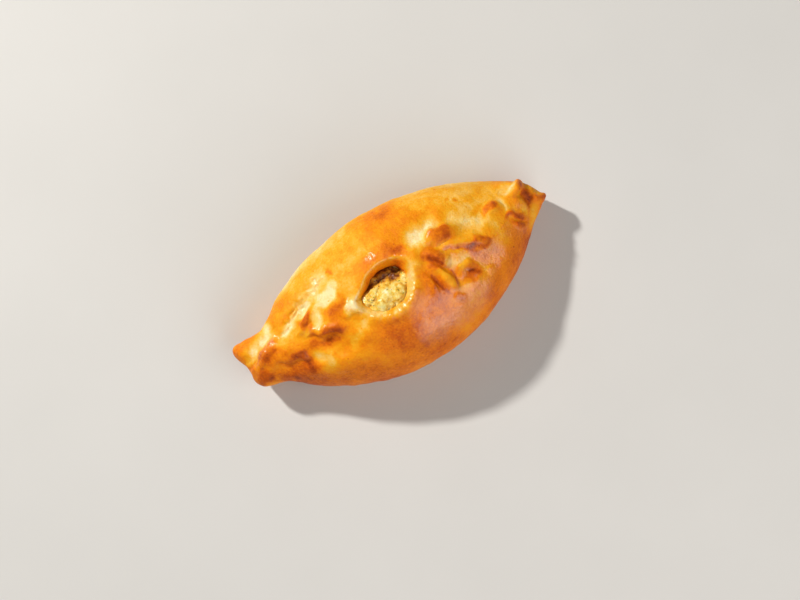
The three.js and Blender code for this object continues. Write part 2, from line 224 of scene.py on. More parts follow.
hollows = [  # the same for what is pressed in
    # under tongue and ridge, between curls, heart of the swirl, between the lips
    ([(21, 7), (25.4, 5.8), (30.6, 5.6)], (0.9, 1.1), (0.9, 1.1), (0.1, 0.6, 0.2)),
    ([(24.4, 3.2), (28.7, 1.5), (33.4, -0.4)], (0.8, 1), (0.9, 1.1), (0.1, 0.5, 0.2)),
    ([(14.8, -3.4), (16.2, -8), (16.6, -12.6)], 0.7, 0.7, (0.1, 0.9, 0.6, 0.1)),
    ([(32, -11.2), (29.6, -10.8), (27.2, -11.8)], (1.2, 1.4, 1.6), (1.2, 1.4, 1.6), (0.4, 0.6, 0.6)),
    ([(55.6, -0.6), (58, -1.6), (60.8, -4.8)], 0.6, 0.6, (0.1, 0.4, 0.1)),
    # beside and behind the horn
    ([(59.4, 12), (62.2, 11.8)], 1.3, 1.3, 0.7),
    ([(66.2, 6.2), (67.2, 1.4)], (2.2, 2.4), (2.2, 2.4), (2.2, 1.8)),
    # thumb dent, plane by the ridge, skin before the peak
    ([(11.5, 15.8), (18.5, 15.4), (25, 17)], 5, (3.4, 3, 2.6), (1, 2.4, 1.6)),
    ([(24.5, -9), (31, -9.5), (40, -12)], 6.5, 4, (1.7, 1.8, 1.4)),
    ([(34, 6), (42, 7), (46, 12)], 4, 4, (0.8, 1.2, 0.8)),
    # below the overhang, cleft of the tail, valley
    ([(-43.5, -0.6), (-37.2, -4.2), (-29, -8.6)], (1.8, 2.2, 2.2), (2.4, 3.2, 3.2), (0.1, 0.9, 0.6, 0.1)),
    ([(-72.6, 6.6), (-66, 9.8), (-56.5, 12.8)], (2.2, 2.6, 2.8), (2, 2.2, 2.4), (0.3, 1.3, 1.6)),
    ([(-54.2, 9), (-46.2, 12), (-39.8, 14.6)], (2, 2.8, 3.2), (1.8, 1.8, 2.2), (1.4, 2.3, 2.3)),
    ([(-41, 15), (-33.5, 17.8), (-24.5, 22.4)], (3.6, 4.6, 3.6), (3, 3.6, 3), (2, 2.4, 0.6)),
    ([(-36.8, 3.4), (-33.2, 5.6)], 0.7, 0.7, 0.4),
    # soft dimples
    ([(-39.5, -5.3), (-33.5, -9.6), (-27, -11)], 3, 3, (0.5, 1.2, 0.5)),
    ([(-47.5, -7), (-44, -8)], 2.6, 2.6, 0.9),
    ([(-57, -5.5), (-52, -6.5)], 2.6, 2.6, 0.8),
]
foldSegments = 10  # straight pieces of a bent path
foldPower = 3.0  # flatter top and steeper sides than a bell
strokeReach = 2.6  # a stroke has faded at this many widths
sideBlend = 0.5  # share of the width in which one side turns into the other

# no edge pressed by hand runs straight
wander = {"seed": 4, "waves": 18, "length": (2.4, 9.0), "reach": 0.024}

wrinkles = {  # fine creases of the thin skin in the pale valley
    "seed": 11, "count": 46, "path": [(-52, 10.5), (-40, 15.5), (-25, 21.5)], "spread": 4.4,
    "scatter": 0.5, "widening": (0.3, 1.0),
    "length": (2.5, 6.5), "turn": 0.55, "width": (0.35, 0.7), "height": (-0.42, 0.42),
}

eye = {
    "centre": (-5.0, 2.5),
    "crest": [(6, 14.6), (18, 16.2), (26, 15.8), (40, 14.4), (65, 12.1), (98, 10.5), (137, 10.3),
              (152, 11.2), (164, 13.2), (173, 15.6), (184, 15.0), (198, 13.8), (233, 12.3), (270, 11.9),
              (311, 12.0), (331, 12.3), (352, 13.2)],  # degrees and reach
    "crestSoftening": (-6, -3, 0, 3, 6), "lipTurn": math.radians(-83), "lipHeight": (0.2, 1.3),
    "lipOutside": 0.26, "lipInside": 0.3, "wallFrom": 0.5, "knee": 0.62, "slopeWidth": (0.30, 0.28),
    "slopeDrop": (6.5, 1.7), "slopePower": (1.35, 1.3), "steepWidth": 0.05, "depth": 12.0, "mouth": 10.4,
    "beads": ((7, 0.8, 0.16), (13, 2.6, 0.16), (29, 0.2, 0.12)),
    "swell": 0.3, "swellPlace": 1.4, "swellWidth": 0.35, "swellTurn": math.radians(118),
}


def planHalfWidth(x):
    lens = dough["halfWidth"] * np.clip(1 - (x / dough["lensLength"]) ** 2, 0, 1) ** dough["lensPower"]
    tail = dough["tailHalfWidth"] * (1 - ease(dough["tailEnds"], dough["tailStarts"], x))
    blended = 0.5 * (lens + tail + np.hypot(lens - tail, dough["tailBlend"]))
    return np.where(x > dough["tailStarts"], lens, blended)


def seamBend(x):
    share = np.abs(x) / dough["halfLength"]
    towardsTail = dough["tailBend"] * share ** dough["tailBendPower"]
    towardsTip = dough["tipBend"] * share ** 2 * (1 - ease(*dough["tipStraightens"], x))
    return np.where(x < 0, towardsTail, towardsTip)


def ridgeHeight(x):
    share = np.clip(1 - (x / dough["halfLength"]) ** 2, 0, 1)
    towardsTail = dough["tailHeight"] + dough["tailRise"] * share ** dough["tailRisePower"]
    towardsTip = dough["tipHeight"] + dough["tipRise"] * share ** dough["tipRisePower"]
    return np.where(x < 0, towardsTail, towardsTip)


def undersideHeight(x):
    beyond = np.clip(np.abs(x) - dough["liftStart"], 0, None)
    return dough["endLift"] * (beyond / (dough["halfLength"] - dough["liftStart"])) ** 2


def doughPoints(x, angle):
    rounding = np.sqrt(np.clip(1 - np.abs(x / dough["halfLength"]) ** dough["endPower"], 0, 1))
    under, top = undersideHeight(x), ridgeHeight(x)
    middle = under + dough["midShare"] * (top - under)
    cosine, sine = np.cos(angle), np.sin(angle)
    power = np.where(sine > 0, dough["topPower"], dough["underPower"])
    side = np.sign(cosine) * np.abs(cosine) ** (2 / power)
    up = np.sign(sine) * np.abs(sine) ** (2 / power)
    reach = np.where(sine > 0, top - middle, middle - under + dough["baseSag"])
    y = seamBend(x) + planHalfWidth(x) * rounding * side
    return np.stack([x, y, np.maximum(0, middle + reach * rounding * up)], -1)


def crowdedHalfTurn(share, crowding):
    return np.pi * share + 0.5 * crowding * np.sin(2 * np.pi * share)


def ringShare(points, crowding):
    latitude = np.arccos(np.clip(-points[:, 0], -1, 1)) / np.pi
    even = 2 * latitude - 1
    return even + crowding * (points[:, 0] - even)


# folds are strokes in plan: a curve with its own width on either side

def curvePoints(path):
    points = np.array(path, float)
    if len(points) == 2:
        return points
    control = 2 * points[1] - 0.5 * (points[0] + points[2])
    share = np.linspace(0, 1, foldSegments + 1)[:, None]
    return (1 - share) ** 2 * points[0] + 2 * share * (1 - share) * control + share ** 2 * points[2]


def alongStroke(along, values):
    values = np.atleast_1d(values)  # one value or several, evenly spaced
    return np.interp(along, np.linspace(0, 1, len(values)), values)


def strokeField(x, y, path, left, right, strength, power=2):
    curve = curvePoints(path)
    lengths = np.hypot(*np.diff(curve, axis=0).T)
    starts = np.concatenate([[0], np.cumsum(lengths)])
    reach = strokeReach * max(np.max(left), np.max(right))
    near = (x > curve[:, 0].min() - reach) & (x < curve[:, 0].max() + reach)
    near &= (y > curve[:, 1].min() - reach) & (y < curve[:, 1].max() + reach)
    field = np.zeros_like(x)
    x, y = x[near], y[near]
    nearest = np.full(x.shape, np.inf)
    side, along = np.zeros_like(x), np.zeros_like(x)
    for k, length in enumerate(lengths):
        run = (curve[k + 1] - curve[k]) / length
        dx, dy = x - curve[k][0], y - curve[k][1]
        travel = np.clip(dx * run[0] + dy * run[1], 0, length)
        distance = np.hypot(dx - travel * run[0], dy - travel * run[1])
        closer = distance < nearest
        nearest = np.where(closer, distance, nearest)
        side = np.where(closer, run[0] * dy - run[1] * dx, side)
        along = np.where(closer, (starts[k] + travel) / starts[-1], along)
    leftWidth, rightWidth, height = (alongStroke(along, values) for values in (left, right, strength))
    leftShare = 0.5 + 0.5 * np.tanh(side / (sideBlend * np.minimum(leftWidth, rightWidth)))
    width = rightWidth + (leftWidth - rightWidth) * leftShare
    field[near] = height * bell(nearest, width, power)
    return field


def wanderedPlan(x, y):
    draw = np.random.default_rng(wander["seed"])
    plan = np.stack([x, y], -1)
    shift = np.zeros_like(plan)
    for length in draw.uniform(*wander["length"], wander["waves"]):
        heading, lean, phase = draw.uniform(0, 2 * np.pi, 3)
        across = plan @ (math.cos(heading), math.sin(heading))
        wave = wander["reach"] * length * np.sin(2 * np.pi * across / length + phase)
        shift += wave[:, None] * (math.cos(lean), math.sin(lean))
    return (plan + shift).T


def foldHeights(x, y):
    raised, sunk = np.zeros_like(x), np.zeros_like(x)
    for path, left, right, height in folds:
        raised += strokeField(x, y, path, left, right, height, foldPower) ** 3
    for path, left, right, depth in hollows:
        sunk -= strokeField(x, y, path, left, right, depth)
    return np.cbrt(raised) + sunk


def wrinkleHeights(x, y):
    draw = np.random.default_rng(wrinkles["seed"])
    route = curvePoints(wrinkles["path"])
    heights = np.zeros_like(x)
    for place in draw.uniform(0, 1, wrinkles["count"]):
        step = place * (len(route) - 1)
        k = min(int(step), len(route) - 2)
        run = route[k + 1] - route[k]
        away = draw.normal(0, wrinkles["scatter"], 2) * wrinkles["spread"]
        middle = route[k] + run * (step - k) + away * mixed(wrinkles["widening"], place)
        turn = math.atan2(run[1], run[0]) + draw.normal(0, wrinkles["turn"])
        half = 0.5 * draw.uniform(*wrinkles["length"]) * np.array([math.cos(turn), math.sin(turn)])
        width, height = draw.uniform(*wrinkles["width"]), draw.uniform(*wrinkles["height"])
        heights += strokeField(x, y, [middle - half, middle + half], width, width, height)
    return heights


# the eye: a rolled lip and a wall that goes down to the filling

def crestReach(turn):
    angles, reaches = np.array(eye["crest"]).T
    total = 0
    for shift in eye["crestSoftening"]:
        total = total + np.interp(np.degrees(turn) + shift, angles, reaches, period=360)
    return total / len(eye["crestSoftening"])


def eyePlace(x, y):
    dx, dy = x - eye["centre"][0], y - eye["centre"][1]
    turn = np.arctan2(dy, dx)
    return np.hypot(dx, dy) / crestReach(turn), turn


def lipShare(turn):
    return 0.5 + 0.5 * np.cos(turn - eye["lipTurn"])


def pressEye(points, isTop):
    place, turn = eyePlace(points[:, 0], points[:, 1])
    full = lipShare(turn)
    width = np.where(place > 1, eye["lipOutside"], eye["lipInside"])
    lift = mixed(eye["lipHeight"], full) * bell(place - 1, width)
    for count, start, depth in eye["beads"]:  # uneven, like a hand-rolled edge
        lift *= 1 + depth * np.sin(count * turn + start)
    towardsSwell = (0.5 + 0.5 * np.cos(turn - eye["swellTurn"])) ** 2
    lift += eye["swell"] * towardsSwell * bell(place - eye["swellPlace"], eye["swellWidth"])
    points[:, 2] += lift * isTop
    inside = isTop & (place < 1)
    inward = np.clip((1 - place) / (1 - eye["wallFrom"]), 0, 1)
    slope = np.clip(inward / eye["knee"], 0, 1)
    steep = np.clip((inward - eye["knee"]) / (1 - eye["knee"]), 0, 1)
    # long slopes at the corners
    foot = np.minimum(1 - mixed(eye["slopeWidth"], full), eye["mouth"] / crestReach(turn))
    reach = 1 - (1 - foot) * slope - eye["steepWidth"] * steep
    target = np.where(inward < 1, reach, place * reach / eye["wallFrom"])
    slopeDrop = mixed(eye["slopeDrop"], full)
    fall = slopeDrop * slope ** mixed(eye["slopePower"], full) + (eye["depth"] - slopeDrop) * steep
    pull = np.where(inside, target / np.maximum(place, 1e-6), 1)
    for axis in (0, 1):
        points[:, axis] = eye["centre"][axis] + (points[:, axis] - eye["centre"][axis]) * pull
    points[:, 2] -= np.where(inside, fall, 0)
    return place, full, np.where(inside, inward, 0)


# how far the crust is baked, with painted shade and painted highlights added in: 0 pale dough, 0.4 golden,
# 0.7 orange brown, 1 dark brown

tones = {
    # shadeSide and shadeAcross are painted shade: the side away from the key light is made browner
    "golden": 0.37, "shadeSide": 0.21, "shadeAcross": (8, -16), "gloss": 0.07, "upFacing": (-0.1, 0.3),
    "underBrown": 0.31, "downFacing": (-0.5, -0.9), "endBrown": 0.20, "endFacing": (0.4, 0.8),
    "edgePaleAndLit": 0.2, "edgeShade": 0.04, "edgeHeight": (25, 15), "edgeFacing": (-0.4, 0.1),
    "edgeLength": (60, 44), "fullLip": (0.3, 0.6), "lipPlace": 0.88, "lipReach": (0.30, 0.17),
    "lipPaleAndLit": 0.36, "lipShade": 0.06, "lipGloss": 0.6, "lipGlossShare": (0.1, 1),
    "wallShade": 0.13, "wallRun": (0.05, 0.5), "footShade": 0.30, "footRun": (0.5, 0.75),
    "footShare": (1, 0.3), "crestHighlight": 0.16, "crestHighlightAt": 0.97, "crestHighlightWidth": 0.05,
    "crestGloss": 0.8, "crestGlossAt": 0.95, "crestGlossWidth": 0.07,
    "dryCrispness": 3, "washFacing": (0.25, 0.7), "washHeight": (6, 16),
}

toneStrokes = [  # path in plan, width, change of tone, and how crisp its edge is if it isn't soft
    ([(21.6, 9.6), (25, 10), (28.6, 9.8)], 3, 0.16, 8),  # tongue, darkest at its head
    ([(26, 10.2), (30, 9.4)], 4.2, 0.13, 9),
    ([(27.6, 8.6), (29, 7.6)], 1.6, 0.08),
    ([(17.6, 5.4), (21, 1.4)], 2.9, 0.22, 8),  # lobe
    ([(17.6, 3.6), (20.6, -0.4)], 1.2, 0.12, 4),
    ([(30.4, 1.4), (35.4, -1.8)], 1.4, 0.18, 4),  # painted shade under the narrow ridge and in the crease below it
    ([(25, 3.4), (27.6, 2.4), (30, 1.2)], 0.8, 0.22),
    ([(38.4, -0.8), (41.2, -2.9)], 2.9, 0.22, 8),  # its knob, with a painted highlight where it shines
    ([(38.8, -1.2), (40.6, -2.4)], 1.3, -0.12),
    ([(16.6, 0.4), (18.8, -2.4)], 1.7, 0.22),
    ([(6.4, 1), (5.6, -4)], 1.6, 0.07),  # right side of the lip
    ([(18, -3.4), (19.2, -6.6), (20, -10.8)], 1.7, -0.2, 6),  # yellow curl, with painted shade on its far edge and in the crevice beside it
    ([(21.6, -2.6), (23, -6.4), (22.8, -11.8)], 0.7, 0.2),
    ([(14.6, -3.4), (16, -8), (16.3, -12.4)], 0.7, 0.26),
    ([(11.8, -2.4), (12.8, -7), (12.4, -11.6)], 1.7, 0.06),
    ([(-11, -15.5), (2, -15.5), (12, -15)], 4.4, 0.06),  # painted shade under the sheen
    ([(26.2, -7.6), (28.2, -6.6), (30.6, -7.2)], 1.1, -0.06),  # swirl, with painted shade in its dark heart
    ([(31, -7.4), (33.4, -9.8), (33.2, -13.2)], 0.8, 0.08),
    ([(29.6, -10.8), (31, -11.8), (32.4, -13.2)], 1.1, 0.24),
    # painted sheen beside the swirl
    ([(34.6, -9.4), (36, -12.8)], 1.6, -0.16),
    ([(27.2, -11.2), (28.2, -11.8)], 1.4, 0.12),
    ([(26, -15.4), (33.6, -16.2)], 3.2, -0.14),  # skin below the swirl
    ([(24, -3.4), (31.4, -4.4)], 2.3, -0.2),  # skin above it, paler as a painted sheen
    ([(34.2, -1.4), (35, -4.6)], 1.5, 0.18),  # beside the knob
    ([(36.6, -13.8), (41.6, -12)], 2.6, -0.06),
    ([(19, -16.6), (20.8, -17.6)], 1.8, 0.12),  # blisters
    ([(27, -17.2), (28.6, -16.8)], 1.4, 0.1),
    ([(47, 7.4), (50, 8.6), (52.6, 8.6)], 1.7, 0.3, 4),  # peak
    ([(53, 8.4), (54, 6.4), (53.2, 4.2)], 1.4, 0.1, 4),
    ([(44.4, 10.2), (47.7, 11.3)], 1.2, 0.12),
    ([(56.2, 8.8), (56, 4.4)], 1.7, -0.22),  # paler skin behind it
    ([(55.4, 1.4), (58.4, 0.6), (61, -2.6)], 1.5, 0.27, 3),  # lips
    ([(55.8, -2.8), (57.8, -4), (60.2, -5.5)], 1.2, 0.16),
    # painted highlight on the line between the lips
    ([(56.8, -1), (59.4, -2.6)], 0.7, -0.1),
    ([(62, -0.4), (62.6, -2)], 1.4, -0.22),  # behind the lips
    ([(48.6, 0.4), (50.4, -7)], 2.4, -0.13),
    ([(67.2, 6), (67.2, 1.6)], 1.9, 0.2, 4),  # painted shade in the scoop, darkest on its far wall
    ([(68.4, 6), (68.8, 1.8)], 1.2, 0.12),
    # painted shade on the far face of the horn
    ([(66.2, 9.4), (68.2, 8.2)], 1.3, 0.18),
    ([(71, 1.2), (74, 0.2)], 2.4, 0.12),
    ([(-42, 2.4), (-36, 0.2), (-29.4, -2.6)], 1.4, 0.18, 3),  # red strip of the overhanging fold
    ([(-34.4, 1.4), (-30, -1.4)], 2, 0.18),
    ([(-42.8, 8), (-39.2, 10.4)], 2.2, 0.25, 8),  # finger and the cream stripe beside it
    ([(-34.8, 11.2), (-36.2, 7.8), (-37.6, 4.8)], 1.5, -0.26, 3),
    ([(-46, 5.4), (-43, 6.6)], 2, 0.1),
    ([(-41, 4.8), (-39.4, 5.2)], 1.5, 0.24),  # below the finger
    ([(-28, 5.2), (-24.6, 6.8)], 1.8, 0.18),
    ([(-30.4, 4.2), (-27, 1.6)], 1.8, 0.12),
    ([(-22.5, 9.8), (-27, 6.6), (-31.5, 7.2)], 1.5, 0.12),
    ([(-52.6, -1.4), (-48.8, -2.6)], 1.6, 0.26, 3),  # red spot on the seam
    ([(-62, 0.8), (-56, -1.4), (-53, -2.4)], 2.2, 0.08),
    ([(-57, 7.8), (-63.4, 5.8), (-67.6, 3.6)], 2.4, 0.07),  # flap of the tail
    ([(-59.8, 5.8), (-62.8, 4.8)], 2.2, 0.18, 3),
    ([(-63.4, 3.6), (-65, 2.2)], 2, 0.1),
    # dark line along the flap's edge: brown rim and painted shadow
    ([(-57.6, 8.8), (-62.4, 8.2), (-66.4, 5.8)], 0.8, 0.24),
    ([(-59, 4.4), (-57.4, 4.8)], 1.4, 0.14),
    ([(-68.8, -0.2), (-66.8, -3.4)], 2.1, 0.22, 3),  # its lower lobe
    ([(-70.4, -3.2), (-66.4, -4.8)], 1.7, 0.16),
    ([(-64, 14.2), (-71.5, 14.4)], 3, 0.14),  # upper lobe
    ([(-60, 2.6), (-46, -0.8)], 3, 0.1),  # roll of the tail
    ([(-58, -2.4), (-48, -6)], 2.2, 0.13),  # shade below the seam
    ([(-60, -6), (-51, -10)], 3, 0.09),
    ([(-64.4, -3.6), (-61.4, -6.8), (-57.6, -10)], 1.9, 0.17),
    ([(-49.6, -6.4), (-48.8, -10.4)], 2, 0.18),
    ([(-43, -1.4), (-34.6, -5)], 2.6, 0.21),
    ([(9, 30), (12.6, 30.4)], 2.6, 0.14),  # stray brown marks
    ([(-21.8, 22), (-21, 20.6)], 1, 0.22),
    ([(40, 18.9), (40.6, 18.3)], 0.9, 0.3),
    ([(36.5, 21.6), (37.5, 21.2)], 0.8, 0.22),
    ([(-15, 8.4), (-8, 14.2), (4, 15.8)], 2.4, 0.09),  # orange roll above the eye
    ([(9.7, 11.8), (5.4, 16.6)], 3.6, 0.17),
    ([(4.4, 8.5), (6, 4.5)], 1.7, 0.24),
    ([(1.6, 13.8), (8.6, 14)], 1.9, 0.17),
    ([(10.2, 5.4), (11.8, 4.6)], 1.7, -0.16),  # between eye and shoulder
    ([(-11, -7), (-6.8, -7.2)], 1.5, 0.15),  # inner slope of the full lip
    ([(-1.4, -7), (-0.2, -6.6)], 1.5, 0.2),
    ([(-22.8, 2.2), (-18.8, 1.8)], 1.5, -0.2),  # left of the eye
    ([(0, 24), (14, 22), (30, 20)], 6, 0.08),  # orange sweeps of the upper flank
    ([(4, 31.5), (14, 32)], 4, 0.14),
    ([(34.6, 20.2), (47.4, 20)], 2.8, -0.1),  # paler towards the tip
    ([(-46, 19), (-50, 14)], 4, 0.1),  # before the tail
    ([(-44.4, 16.4), (-41.8, 18)], 1.6, -0.17),
    ([(-20, 27), (-6, 26)], 5, -0.06),  # paler patches of the upper flank
    ([(-20, 18.5), (-17, 11.5)], 3.8, -0.09),
    ([(-14, 20), (-5, 20.6)], 2.6, -0.12),
    ([(-42, 26), (-24.8, 31.4), (-4, 35)], 1.9, -0.16),  # pale rim of the lit side: unbrowned dough and painted light
    ([(56, 14), (61, 12)], 3, -0.08),  # skin by the horn
    ([(-71, 6.8), (-64.6, 10.8), (-56.6, 15.4)], 2.2, -0.32, 3),  # cream neck of the tail
    ([(-62, 10.8), (-57.6, 11.2)], 1.5, -0.18, 3),
    ([(-70.6, 10.6), (-66.8, 8)], 1.5, -0.16),
    ([(-22.8, 4.8), (-20.2, 3.6)], 1.8, -0.38, 3),  # painted glint at the eye's left corner
    ([(-19.4, 5.6), (-16.6, 5)], 1.8, -0.14),
    ([(15, -17.5), (30, -18.5)], 4, -0.06),  # paler under the sheen: a painted sheen
    ([(-73.6, 3.4), (-72.6, 0)], 1.6, -0.1),  # edge of the lower lobe
    ([(-18.6, 1.6), (-15.6, -1)], 1.8, 0.12),  # below that corner
    ([(-51.6, 9.6), (-45, 12.2), (-38.6, 14.8)], 2.3, -0.3, 5),  # cream valley
    ([(-40, 15.2), (-33, 17.8), (-26.5, 21.4)], 3, -0.2, 4),
    ([(-31, 12.6), (-27.4, 12.4), (-24.2, 15)], 3, -0.27, 6),  # pale facet
    ([(16.4, 15.4), (24.2, 15.8)], 3.2, -0.34),  # pale stretched dough of the thumb dent, with its painted shine
    ([(60.4, 10), (65.6, 11.6)], 0.9, -0.3),  # painted highlight on the lit side of the horn
    ([(59, 12.4), (62.6, 12)], 1.3, -0.16),
    ([(68.6, 9), (71.4, 4.8), (75, 0.8)], 1.3, -0.26),  # pale rim of the tip
    ([(67.6, -2.4), (62.2, -8.4)], 1.5, -0.2),
    ([(73, -2), (70.6, -4.4)], 1.6, 0.12),  # painted shade below it
    ([(-43.8, -7.6), (-41.2, -11.4)], 3.1, -0.38),  # painted light on the lit bulges below the seam
    ([(-38, -8), (-34.6, -7.2)], 2.8, -0.2),
    ([(-28.4, -10.6), (-25, -7.6), (-20, -6)], 2.8, -0.24),
    ([(-34, -14), (-25, -16)], 3.4, -0.16),
    ([(52, 12), (58, 8)], 4, -0.06),  # between peak and horn
    ([(34, 12.6), (38, 9.6), (44, 6.4)], 3.8, -0.22),  # pale skin between tongue and peak
    ([(40, 14), (46, 12.8)], 2.2, -0.12),
    ([(12, 11.4), (18.5, 12.6)], 2.2, -0.14),  # between eye and tongue
]

glossStrokes = [  # path in plan, width, how much more egg wash lies there
    ([(5, -13), (14, -14), (24, -12)], 5.6, 0.78),
    ([(25, 1), (29, -3), (42, -8)], 4.8, 0.95),
    ([(26, -12), (36, -10)], 4.4, 0.4),
    ([(36.5, -13.6), (42.4, -11.2)], 3, 0.55),
    ([(23.6, -12.4), (25.6, -16.4), (32, -18.4)], 2.8, 0.6),
    ([(2, -22), (13, -23.5), (27, -22)], 5.4, 0.72),
    ([(15, 15), (24.5, 14.8)], 3, 0.45),
    ([(-4.6, 16.6), (-2.2, 17.4)], 1.1, 0.75),
    ([(-54, 9.4), (-45, 13), (-27, 21)], 2.6, 0.36),
    ([(-57, 9.2), (-63, 7.6), (-68, 4.8)], 1.8, 0.95),
    ([(-45, 4.8), (-37.3, 2.6), (-33, 0.4)], 1.5, 0.55),
    ([(-23.4, 5), (-20.2, 3.8)], 2.4, 0.95),
    ([(15.5, 8.2), (22, 10.6)], 1.4, 0.4),
    ([(50, -2), (60, -7)], 3.2, 0.4),
    ([(52.2, 0.8), (54.6, -0.8)], 1.8, 0.45),
    ([(60, 10), (66, 11.6)], 1.4, 0.5),
    ([(60, 3.4), (63.8, 1.2)], 2.2, 0.5),
    ([(-53, -0.4), (-48, -2.6)], 1.6, 0.6),
]

dryStrokes = [  # path in plan, width, how much of the wash is missing on folds that stand out of the sheen
    ([(18, 5), (21.4, 0.6)], 2.6, 0.8),
    ([(17, -1.6), (19.4, -5.6), (20.4, -12)], 2.3, 0.9),
    ([(25, -8.6), (27.8, -6.6), (31.6, -7.6)], 1.8, 1),
    ([(31.6, -8), (33.4, -10.4), (33.2, -13.6)], 1.6, 1),
    ([(26.6, -12), (31.6, -11)], 1.4, 0.9),
    ([(36.6, -3.6), (42, -4.6)], 1.6, 0.8),
    ([(55.6, -2.6), (60.6, -5.6)], 1.7, 0.9),
    ([(36.8, 0.6), (41.8, -0.6)], 1.2, 0.8),
]


def paintTones(x, y, z, normals, eyePart):
    place, full, inward = eyePart
    facing = normals[:, 2]
    shaded = ease(*tones["shadeAcross"], y)
    below = ease(*tones["downFacing"], facing)
    # painted shade: browner on the side away from the key light
    bakeAndShade = tones["golden"] + tones["shadeSide"] * shaded * (1 - below)
    # near the base: pale unbrowned dough, paler on the lit side as painted light, and painted shade on the
    # shaded side
    nearBase = ease(*tones["edgeHeight"], z) * ease(*tones["edgeFacing"], facing)
    nearBase *= ease(*tones["edgeLength"], np.abs(x))
    bakeAndShade += nearBase * mixed((-tones["edgePaleAndLit"], tones["edgeShade"]), shaded)
    bakeAndShade += tones["underBrown"] * below + tones["endBrown"] * ease(*tones["endFacing"], np.abs(normals[:, 0]))
    change, gloss = np.zeros_like(x), np.full_like(x, tones["gloss"])
    for path, width, shade, *crispness in toneStrokes:
        change += strokeField(x, y, path, width, width, shade, *crispness)
    for path, width, amount in glossStrokes:
        gloss += strokeField(x, y, path, width, width, amount)
    for path, width, amount in dryStrokes:
        gloss *= 1 - strokeField(x, y, path, width, width, amount, tones["dryCrispness"])
    onFull = ease(*tones["fullLip"], full)
    lipReach = np.where((place < tones["lipPlace"]) & (onFull > 0), *tones["lipReach"])
    onLip = bell(place - tones["lipPlace"], lipReach)
    # the full lip: pale stretched dough with painted light on its lit inner slope; the lip of the shaded
    # wall: painted shade
    change += onLip * mixed((tones["lipShade"], -tones["lipPaleAndLit"]), onFull)
    # painted shade on the eye's wall that faces away from the light
    change += tones["wallShade"] * (1 - onFull) * ease(*tones["wallRun"], inward)
    # painted shade down at the wall's foot, where it meets the filling
    change += tones["footShade"] * ease(*tones["footRun"], inward) * mixed(tones["footShare"], onFull)
    # painted highlight: a paler line along the crest of the shaded wall
    change -= tones["crestHighlight"] * (1 - onFull) * bell(place - tones["crestHighlightAt"], tones["crestHighlightWidth"])
    gloss += tones["lipGloss"] * onLip * mixed(tones["lipGlossShare"], onFull)
    onCrest = bell(place - tones["crestGlossAt"], tones["crestGlossWidth"])
    gloss += tones["crestGloss"] * (1 - onFull) * onCrest
    washed = ease(*tones["washFacing"], facing) * ease(*tones["washHeight"], z)  # egg is brushed on top only
    return bakeAndShade + change * ease(*tones["upFacing"], facing), gloss * washed


def makeCrust():
    piece = addLyingSphere("crustDough", dough["rings"], dough["segments"])
    points = readPoints(piece)
    x = dough["halfLength"] * ringShare(points, dough["ringCrowding"])
    share = np.mod(np.arctan2(points[:, 2], points[:, 1]) / (2 * np.pi), 1)
    over = share < dough["topShare"]
    topAngle = crowdedHalfTurn(share / dough["topShare"], dough["topCrowding"])
    underShare = (share - dough["topShare"]) / (1 - dough["topShare"])
    underAngle = np.pi + crowdedHalfTurn(underShare, dough["underCrowding"])
    points = doughPoints(x, np.where(over, topAngle, underAngle))
    for place, reach, move in cornerPulls:
        points += bell(np.linalg.norm(points - place, axis=1), reach)[:, None] * np.array(move)
    writePoints(piece, points)
    normals = readNormals(piece)
    upward = ease(*dough["reliefFacing"], normals[:, 2])
    x, y = wanderedPlan(points[:, 0], points[:, 1])
    relief = foldHeights(x, y) + wrinkleHeights(x, y)
    points += normals * dough["reliefAxes"] * (relief * upward)[:, None]
    eyePart = pressEye(points, normals[:, 2] > dough["topFacing"])
    points[:, 2] = np.maximum(0, points[:, 2])
    bakeAndShade, gloss = paintTones(x, y, points[:, 2], normals, eyePart)
    writePoints(piece, (points + (originShift, 0, 0)) * mm)
    writeAttribute(piece, "bakeAndShade", bakeAndShade)
    writeAttribute(piece, "gloss", gloss)
    grainy = ease(*dough["grainHeight"], points[:, 2]) * ease(*dough["grainInEye"], eyePart[2])
    writeGroup(piece, "upper", grainy)
    for name, size, strength in dough["grain"]:
        roughen(piece, name, size, strength, group="upper")
    print("crust shaped:", len(points), "points")
    return piece


# filling: a lens that runs through the crust, and the heap that shows in the eye

filling = {
    "halfLength": 55, "halfWidth": 25.5, "power": 0.85, "risePower": 0.5,
    "floor": 6.5, "middle": 16, "top": 35, "bend": 0.9, "gap": 0.3,
    "rings": 96, "segments": 72, "roomBake": 0.55, "insideCrack": 0.7,
}
# the lens is even about its own middle
originShift = 0.5 * (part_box("filling")[0][0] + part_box("filling")[1][0]) / mm


def makeLens(name, grow):
    piece = addLyingSphere(name, filling["rings"], filling["segments"])
    points = readPoints(piece)
    x = (filling["halfLength"] + grow) * ringShare(points, dough["ringCrowding"])
    angle = np.arctan2(points[:, 2], points[:, 1])
    share = np.clip(1 - (x / (filling["halfLength"] + grow)) ** 2, 0, 1)
    margin = np.where(share > 0, grow, 0)
    halfWidth = filling["halfWidth"] * share ** filling["power"] + margin
    above, under = filling["top"] - filling["middle"], filling["middle"] - filling["floor"]
    rise = np.where(np.sin(angle) > 0, above, under) * share ** filling["risePower"] + margin
    y = seamBend(x) * filling["bend"] + halfWidth * np.cos(angle)
    z = filling["middle"] + rise * np.sin(angle)
    writePoints(piece, (np.stack([x, y, z], -1) + (originShift, 0, 0)) * mm)
    return piece


